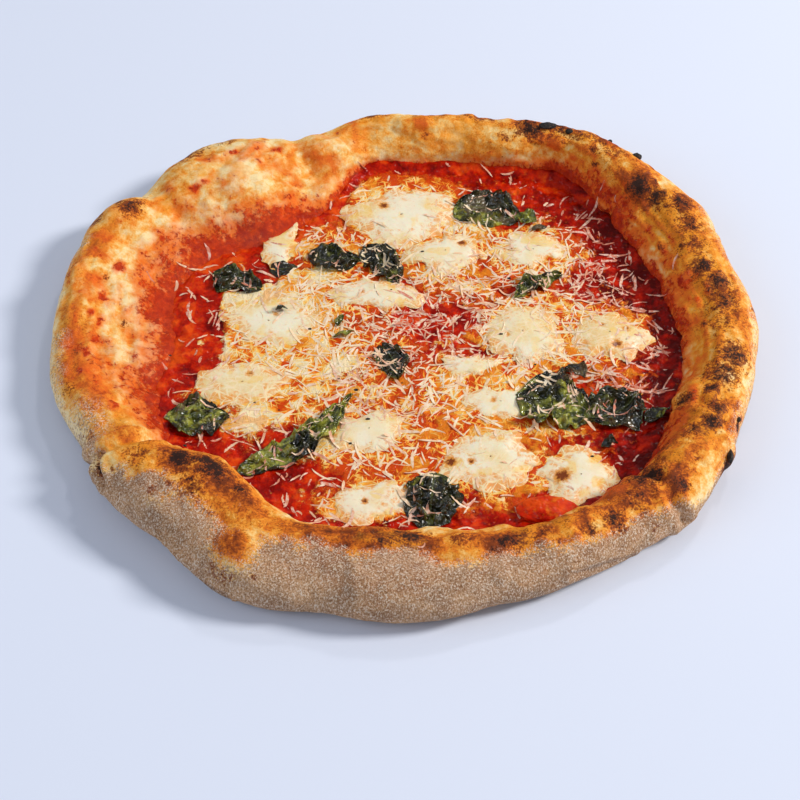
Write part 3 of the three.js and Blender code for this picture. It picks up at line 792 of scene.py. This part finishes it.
poolPieces, poolMiddles = [], []
share = np.linspace(0.02, 1, pools["across"])[:, None]  # from the middle out to the edge
turn = fullTurn(pools["around"])
for index, name in enumerate(sorted(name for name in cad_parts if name.startswith("mozzarella"))):
    low, high = nodeBox(name)
    middle = (low + high) / 2
    outline = poolOutline(name, middle, low[2])
    frill = lumps(joined(np.cos(turn) * 14, np.sin(turn) * 14, 9.0 * index), 7, 80, 4)
    outline = outline * (pools["swell"] + pools["frill"] * frill)
    x = middle[0] + share * outline * np.cos(turn)
    y = middle[1] + share * outline * np.sin(turn)
    places = joined(x, y, 0.0)
    drift = pools["wander"] * share ** 2
    x = x + drift * lumps(places, 7, 201, 4)
    y = y + drift * lumps(places, 7, 205, 4)
    crown = (high[2] - sauceTop - sauce["film"]) * 0.75
    z = sauceTop + 0.45 + crown * (1 - share ** 2.4) + 0.35 * np.sqrt(np.clip(1 - share ** 3, 0, 1))
    z = z + sum(amount * lumps(places, size, 84) for size, amount in pools["lumps"]) * (1 - share ** 3)
    brown = np.zeros(x.shape)
    for sx, sy, size, amount in pools["spots"]:
        brown = np.maximum(brown, amount * peak(np.hypot(x - sx, y - sy) / size, 0.8))
    cream = 0.16 + 0.35 * lumps(places, 13, 91) + 0.25 * ease(share, 0.5, 1)
    cream += 0.32 * ease(np.hypot(x - 76, y - 6), 44, 20) + 0.24 * ease(x, -30, -55)
    masks = {"rim": share + 0.18 * lumps(places, 7, 86), "brown": brown, "cream": cream,
             "oily": 0.85 * ease(lumps(places, 6, 88), 0.25, 0.85)}
    faces = gridFaces(pools["across"], pools["around"], True)[:, ::-1].tolist()
    faces.append(list(range(pools["around"])))
    points = joined(x, y, z - 0.4 * brown)
    poolPieces.append(makePiece(name + "_melted", points, faces, cheeseFinish, masks, name))
    poolMiddles.append((middle[0], middle[1], 0.7 * outline.mean()))
print("mozzarella made", len(poolPieces))


fieldReach, fieldStep = 165, 1.1  # mm


def topField(pieces):
    # how high the pieces stand, on a square grid
    vertices, polygons = [], []
    for piece in pieces:
        count = len(vertices)
        vertices += [v.co / mm for v in piece.data.vertices]
        polygons += [[count + k for k in p.vertices] for p in piece.data.polygons if len(p.vertices) < 5]
    tree = BVHTree.FromPolygons(vertices, polygons)
    span = np.arange(-fieldReach, fieldReach + 0.1, fieldStep)
    hits = [[tree.ray_cast(Vector((x, y, skyLevel)), downward)[0] for y in span] for x in span]
    return span, np.array([[place.z if place else 0 for place in row] for row in hits])


def topAt(x, y):
    # height of what lies there so far
    return heightAt(*topHeights, x, y)


topHeights = topField([crustPiece, saucePiece] + poolPieces)
print("heights found")


leaf = {
    "steps": (84, 44),  # points along and across
    "thick": 0.4, "folds": [(10, 3.0), (5, 1.7)], "ribs": 1.2, "ragged": 0.3,
    # how each leaf lies: turn of its midrib, length, width, pleats and their height, curl of the edges, bend
    # of the midrib, how green it is, with painted light on the pleats' tops, and how dry it is
    "columns": ("turn", "long", "wide", "pleats", "high", "curl", "bend", "green_and_lit_pleats", "dry"),
    "leaves": {
        "basil_01": (-12, 33, 31, 3, 4.6, 1, 3, 0.5, 0.35),
        "basil_02": (35, 28, 10, 2, 3, 2, 2, 0.4, 0.1),
        "basil_03": (-20, 37, 29, 4, 5.4, 1.6, 4, 0.62, 0),
        "basil_04": (34, 28, 23, 3, 5, 1.8, -3, 0.3, 0.35),
        "basil_05": (-96, 32, 24, 6, 4.2, -0.6, 0, 0.2, 0.1),
        "basil_06": (43, 68, 14, 5, 4, 2, -7, 0.62, 0),
        "basil_07": (8, 27, 23, 3, 4.4, 1, 2, 0.55, 0.25),
        "basil_08": (-20, 25, 18, 3, 3.8, 1, 2, 0.2, 0),
        "basil_09": (-8, 26, 14, 3, 4, 1.2, -2, 0.2, 0),
        "basil_10": (-58, 30, 18, 4, 4.2, 1.2, 2, 0.25, 0),
        "basil_11": (10, 14, 9, 2, 2.2, 0.6, 0, 0.5, 0),
        "basil_12": (-70, 22, 15, 3, 3.8, 1, 2, 0.35, 0)},
    # shift in mm off the plain leaf's middle, how blunt the tips are, how high the tip stands
    "usual": {"shift": (0, 0), "blunt": 0.65, "stand": 0},
    "unusual": {"basil_03": {"shift": (1, -3)}, "basil_04": {"shift": (-3, 1)}, "basil_06": {"blunt": 0.9}},
    # loose scraps: middle, turn, length, width, how green (with painted light on the pleats' tops), how dry,
    # and how high the tip stands
    "scrapSteps": (30, 16),
    "scraps": [
        ((112, -45), 20, 12, 8, 0.9, 0, 1), ((78, -21), -60, 14, 9, 0, 1, 6),
        ((60, 84), -30, 12, 8, 1, 0, 1), ((-28, 4), 10, 9, 3, 0.8, 0, 1), ((66, 76), 10, 7, 4, 0, 0.8, 1),
        ((-30, 13), 60, 6, 4, 0.9, 0, 0.5), ((-58, 20), 10, 5, 4, 0.9, 0, 0.5),
        ((90, -62), 10, 8, 5, 0.5, 0.4, 1)],
}


def leafSheet(middle, look, seed, alongCount, acrossCount):
    # a crumpled leaf lying on what is under it: points, faces and masks
    along, across = np.meshgrid(np.linspace(0, 1, alongCount), np.linspace(-1, 1, acrossCount), indexing="ij")
    belly = np.maximum(np.sin(pi * along ** 0.8), 0.03) ** look["blunt"]
    flat = joined(along * look["long"], across * look["wide"] / 2, seed * 13.0)
    ragged = 1 + leaf["ragged"] * lumps(flat, 7, 130 + seed, 3) * np.abs(across)
    arch = np.sin(pi * along)
    localX = (along - 0.5) * look["long"] + 0.9 * lumps(flat, 6, 135 + seed)
    localY = look["wide"] / 2 * belly * across * ragged + look["bend"] * (arch - 0.5)
    pleat = np.abs(((look["pleats"] * (along * 0.9 + 0.4 * np.abs(across)) + 0.3 * seed
                     + 0.35 * lumps(flat, 11, 140 + seed)) % 1) * 2 - 1)
    rise = look["high"] * (0.55 * pleat ** 1.4 * (0.3 + 0.7 * arch) * (0.35 + 0.65 * np.abs(across) ** 0.7)
                           + 0.2 * arch * (1 - across ** 2))
    for size, amount in leaf["folds"]:
        rise = rise + amount * (0.75 - 2.2 * np.abs(lumps(flat, size, 95 + seed))) * (0.4 + 0.6 * arch)
    ribs = np.abs(lumps(flat * (0.22, 1.0, 1.0), 3.2, 150 + seed))  # folds along the leaf
    rise = rise + leaf["ribs"] * (0.5 - 2.2 * ribs) * (0.3 + 0.7 * arch) * look["wide"] / 28
    rise = rise + look["curl"] * np.abs(across) ** 2.2 * belly * (0.5 + 0.8 * lumps(flat, 9, 90 + seed))
    x, y = turned(localX, localY, look["turn"])
    x, y = x + middle[0] + look["shift"][0], y + middle[1] + look["shift"][1]
    ground = topAt(x, y)
    for _ in range(6):  # the leaf bridges small hollows
        wider = np.pad(ground, 1, mode="edge")
        ground = (wider[:-2, 1:-1] + wider[2:, 1:-1] + wider[1:-1, :-2] + wider[1:-1, 2:]) / 4
    z = ground + np.maximum(rise, 0.15 * rise) + 0.4 + look["stand"] * along
    z = np.maximum(z, topAt(x, y) + 0.35)
    sideVeins = np.abs(((along * 7 - np.abs(across) * 1.6) % 1) - 0.5) * 2
    vein = np.maximum(peak(across * belly / 0.06), ease(sideVeins, 0.8, 1.0) * 0.8)
    top = joined(x, y, z).reshape(-1, 3)
    under = top - (0, 0, leaf["thick"])
    faces = gridFaces(alongCount, acrossCount, False)
    order = np.arange(len(top)).reshape(alongCount, acrossCount)
    loop = np.concatenate([order[0], order[1:, -1], order[-1, -2::-1], order[-2:0:-1, 0]]).tolist()
    edgeFaces = [[a, b, b + len(top), a + len(top)] for a, b in zip(loop, loop[1:] + loop[:1])]
    # the pleat term makes the tops of the pleats lighter green: painted light
    masks = {"vein": vein, "green_and_lit_pleats": look["green_and_lit_pleats"] * (0.45 + 1.6 * lumps(flat, 11, 99 + seed) + 0.6 * pleat),
             "dry": look["dry"] * (0.8 + 1.2 * lumps(flat, 9, 102 + seed))}
    masks = {key: np.tile(values.ravel(), 2) for key, values in masks.items()}
    faces = faces.tolist() + (faces[:, ::-1] + len(top)).tolist() + edgeFaces
    return np.concatenate([top, under]), faces, masks


leafPieces = []
for seed, (name, row) in enumerate(leaf["leaves"].items()):
    low, high = nodeBox(name)
    look = {**leaf["usual"], **dict(zip(leaf["columns"], row))}
    look.update(leaf["unusual"].get(name, {}))
    points, faces, masks = leafSheet((low + high) / 2, look, seed, *leaf["steps"])
    leafPieces.append(makePiece(name + "_leaf", points, faces, basilFinish, masks, name))

scrapPoints, scrapFaces, scrapMasks = [], [], []
for seed, (middle, turn, long, wide, green_and_lit_pleats, dry, stand) in enumerate(leaf["scraps"]):
    look = dict(zip(leaf["columns"], (turn, long, wide, 2, 1.6, 0.8, 1, green_and_lit_pleats, dry)))
    look = {**leaf["usual"], **look, "stand": stand}
    points, faces, masks = leafSheet(middle, look, seed + 20, *leaf["scrapSteps"])
    scrapFaces += (np.array(faces) + len(points) * seed).tolist()
    scrapPoints.append(points + (0, 0, 0.8))
    scrapMasks.append(masks)
makePiece("basil_scraps", np.concatenate(scrapPoints), scrapFaces, basilFinish,
          {key: np.concatenate([masks[key] for masks in scrapMasks]) for key in scrapMasks[0]})
print("basil made", len(leafPieces), "leaves", len(scrapPoints), "scraps")


tomato = {"rows": 40, "around": 72, "squash": (1, 1, 0.9), "sunk": 1.0}
low, high = nodeBox("tomato_piece")
ball = ballPoints(tomato["rows"], tomato["around"], 0.02, pi * 0.62)
swell = 1 + 0.10 * lumps(ball * 8, 5, 110) + 0.05 * lumps(ball * 8, 1.8, 111)
chunk = (low + high) / 2 + ball * (high - low) / 2 * tomato["squash"] * swell[..., None]
chunk = chunk - (0, 0, tomato["sunk"])
chunkFaces = gridFaces(tomato["rows"], tomato["around"], True).tolist()
chunkFaces.append(list(range(tomato["around"])))
chunkMasks = {"film": np.zeros(swell.shape), "oily": 0.24 + 0.14 * lumps(chunk, 4, 113),
              "pulp_and_shadow": np.full(swell.shape, 1.0), "warm": np.full(swell.shape, 0.85)}
makePiece("tomato_chunk", chunk, chunkFaces, sauceFinish, chunkMasks, "tomato_piece")
print("tomato made", len(chunkFaces))


shreds = {
    "count": 1900, "stations": 7, "sides": 4,
    "long": (5, 14), "wide": (0.8, 2.1), "thick": 0.18,  # mm
    "strays": 22,  # on the rim's foot
    # where they fell thickest: x, y, spread and share
    "drifts": [
        (0, 5, 45, 0.3), (40, 30, 32, 0.14), (90, -15, 26, 0.12), (60, 60, 26, 0.08), (-30, 0, 36, 0.1),
        (20, -60, 40, 0.1), (-40, -75, 30, 0.06), (-60, 40, 34, 0.05), (95, 50, 22, 0.05)],
    "onCrust": [(7, -129), (-96, 60), (104, 87), (128, 40), (-120, 40)],
}
topHeights = topField([crustPiece, saucePiece] + poolPieces + leafPieces)
drifts = shreds["drifts"]
shares = np.array([drift[3] for drift in drifts])
fellAt = []
while len(fellAt) < shreds["count"]:
    cx, cy, spreadOut, _ = drifts[dice.choice(len(drifts), p=shares / shares.sum())]
    x, y = dice.normal(cx, spreadOut), dice.normal(cy, spreadOut)
    onPool = any(hypot(x - px, y - py) < near for px, py, near in poolMiddles)
    onLeaf = topAt(x, y) > heightAt(axis, sauceHeight, x, y) + 1.2 and not onPool
    if hypot(x, y) < footAt(x, y) - 2 and dice.uniform() > 0.75 * onPool + 0.6 * onLeaf:
        fellAt.append((x, y))
for _ in range(shreds["strays"]):
    angle = dice.uniform(0, 2 * pi)
    out = footAt(cos(angle), sin(angle)) + dice.uniform(-4, 4)
    fellAt.append((out * cos(angle), out * sin(angle)))
fellAt += shreds["onCrust"]
shredPoints, shredFaces, shredTone = [], [], []
stations, sides = shreds["stations"], shreds["sides"]
station = np.linspace(-1, 1, stations)
ringTurn = (np.arange(sides) + 0.5) * 2 * pi / sides
ringFaces = gridFaces(stations, sides, True)[:, ::-1]
for x, y in fellAt:
    long, wide = dice.uniform(*shreds["long"]), dice.uniform(*shreds["wide"])
    long *= dice.choice([0.55, 1.0, 1.25], p=[0.4, 0.48, 0.12])
    heading, bend = dice.uniform(0, pi), dice.normal(0, 0.3) * dice.choice([1, 2.2], p=[0.8, 0.2])
    turnAt = heading + bend * station
    px = x + np.cumsum(np.cos(turnAt)) * long / stations - np.cos(heading) * long / 2
    py = y + np.cumsum(np.sin(turnAt)) * long / stations - np.sin(heading) * long / 2
    ground = topAt(px, py)
    sunk = dice.uniform(-0.07, 0.08)  # some have half melted in
    bowed = np.polyval(np.polyfit(station, ground, 2), station)
    line = np.maximum(ground, 0.75 * ground + 0.25 * bowed) + sunk
    line = line + max(dice.normal(-0.5, 0.5), 0) * (station * dice.choice([-1, 1]) + 1) * 0.6
    taper = np.clip(1.12 - np.abs(station) ** 3, 0.12, 1)[:, None]
    roll = (dice.normal(0, 0.17) + dice.normal(0, 0.17) * station)[:, None]
    a = wide / 2 * taper * np.cos(ringTurn)
    b = shreds["thick"] / 2 * np.sqrt(taper) * np.sin(ringTurn)
    across, up = a * np.cos(roll) - b * np.sin(roll), a * np.sin(roll) + b * np.cos(roll)
    shredPoints.append(joined(px[:, None] - across * np.sin(turnAt)[:, None],
                              py[:, None] + across * np.cos(turnAt)[:, None], line[:, None] + up))
    first = len(shredTone) * sides
    shredFaces += (ringFaces + first).tolist()
    shredFaces.append([first + k for k in range(sides)][::-1])
    shredFaces.append([first + (stations - 1) * sides + k for k in range(sides)])
    bare = 1 - float(heightAt(axis, film, x, y))
    # pinker over bare sauce; darker beyond x 85 mm, a painted shadow of the rim on the shreds
    shredTone += [float(np.clip(dice.uniform(-0.1, 0.6) + 0.6 * bare + 0.35 * (x > 85), 0, 1))] * stations
shredPiece = makePiece("shredded_cheese", np.concatenate(shredPoints), shredFaces, shredFinish,
                       {"tone": np.repeat(shredTone, sides)})
shredPiece.data.shade_flat()  # grated, so flat on top
print("shreds made", len(fellAt), len(shredFaces))


specks = {
    "rows": 16, "around": 24,
    # burnt nubs on the rim: degrees, side, size in mm and squash
    "nubs": [
        (44, 0.42, 2.1, (1.1, 0.9, 0.9)), (61, 0.02, 2.6, (1.7, 0.9, 0.45)), (57, 0, 1.6, (1.2, 0.9, 0.8)),
        (-28, 0.8, 2.3, (0.7, 1.5, 0.9)), (50, 0.35, 1.1, (1.2, 1, 0.8)), (-21, 0.7, 1.5, (0.8, 1, 0.8))],
    "herbSpecks": 24, "speckSize": (0.35, 0.8), "speckSquash": (1.3, 0.8, 0.45), "reach": 118,
}


def nub(place, size, squash, seed):
    # a rough little ball
    ball = ballPoints(specks["rows"], specks["around"], 0.02, pi - 0.02)
    rough = 1 + 0.16 * lumps(ball + seed * 9, 0.7, 120) + 0.08 * lumps(ball + seed * 9, 0.3, 121)
    return (place + ball * rough[..., None] * size * squash).reshape(-1, 3)


bits = [nub(rimPoint(at, level), size, squash, seed)
        for seed, (at, level, size, squash) in enumerate(specks["nubs"])]
for seed in range(specks["herbSpecks"]):
    angle, out = dice.uniform(0, 2 * pi), specks["reach"] * sqrt(dice.uniform(0, 1))
    x, y = out * cos(angle), out * sin(angle)
    place = np.array([x, y, topAt(x, y) + 0.1])
    bits.append(nub(place, dice.uniform(*specks["speckSize"]), specks["speckSquash"], seed + 9))
ring = np.arange(specks["around"])
ballFaces = gridFaces(specks["rows"], specks["around"], True).tolist()
ballFaces += [ring[::-1].tolist(), (ring + (specks["rows"] - 1) * specks["around"]).tolist()]
bitFaces = [[corner + len(bits[0]) * k for corner in face] for k in range(len(bits)) for face in ballFaces]
makePiece("burnt_bits", np.concatenate(bits), bitFaces, burntFinish, {})
print("burnt bits made", len(bits))


studio = {
    # each lamp: the way it shines from, distance in m, size in m, power and colour
    "lamps": {
        "key_light": ((0.81, 0.06, 0.588), 2.6, 0.6, 58.0, (1, 0.98, 0.95)),
        "back_light": ((0.35, 0.6, 0.8), 1.9, 0.2, 3.6, (1, 1, 1)),
        "fill_light": ((-1.0, -0.35, 0.75), 1.8, 1.4, 9.0, (0.68, 0.81, 1.0))},
    "skyColor": (0.92, 0.94, 1.0, 1.0), "skyStrength": 0.36,
    "floorColor": (222, 228, 243), "floorReach": 6.0,
    "aim": (-0.002, -0.0293, 0.0), "cameraRise": 48.5, "cameraDistance": 0.807, "lens": 80.0, "sensor": 36.0,
}
floorMaterial, _ = newMaterial("pale_floor", Base_Color=srgb(*studio["floorColor"]), Roughness=0.9,
                               Specular_IOR_Level=0.1)
floorMesh = bpy.data.meshes.new("floor")
floorMesh.from_pydata([(x * studio["floorReach"], y * studio["floorReach"], 0)
                       for x, y in ((-1, -1), (1, -1), (1, 1), (-1, 1))], [], [(0, 1, 2, 3)])
floorMesh.materials.append(floorMaterial)
floor = addObject("floor", floorMesh)

for name, (fromWay, distance, size, power, color) in studio["lamps"].items():
    light = bpy.data.lights.new(name, "AREA")
    light.shape, light.size, light.energy, light.color = "DISK", size, power, color
    lamp = addObject(name, light)
    way = Vector(fromWay).normalized()
    lamp.location = way * distance
    lamp.rotation_euler = way.to_track_quat("Z", "Y").to_euler()

scene = bpy.context.scene
scene.world = bpy.data.worlds.new("soft_sky")
scene.world.use_nodes = True
background = scene.world.node_tree.nodes["Background"]
background.inputs["Color"].default_value = studio["skyColor"]
background.inputs["Strength"].default_value = studio["skyStrength"]
scene.view_settings.view_transform = "Standard"

cameraData = bpy.data.cameras.new("camera")
cameraData.lens, cameraData.sensor_width = studio["lens"], studio["sensor"]
camera = addObject("camera", cameraData)
tilt = radians(studio["cameraRise"])
back = Vector((0, -cos(tilt), sin(tilt)))
camera.location = Vector(studio["aim"]) + back * studio["cameraDistance"]
camera.rotation_euler = (pi / 2 - tilt, 0, 0)
scene.camera = camera

print("scene made")
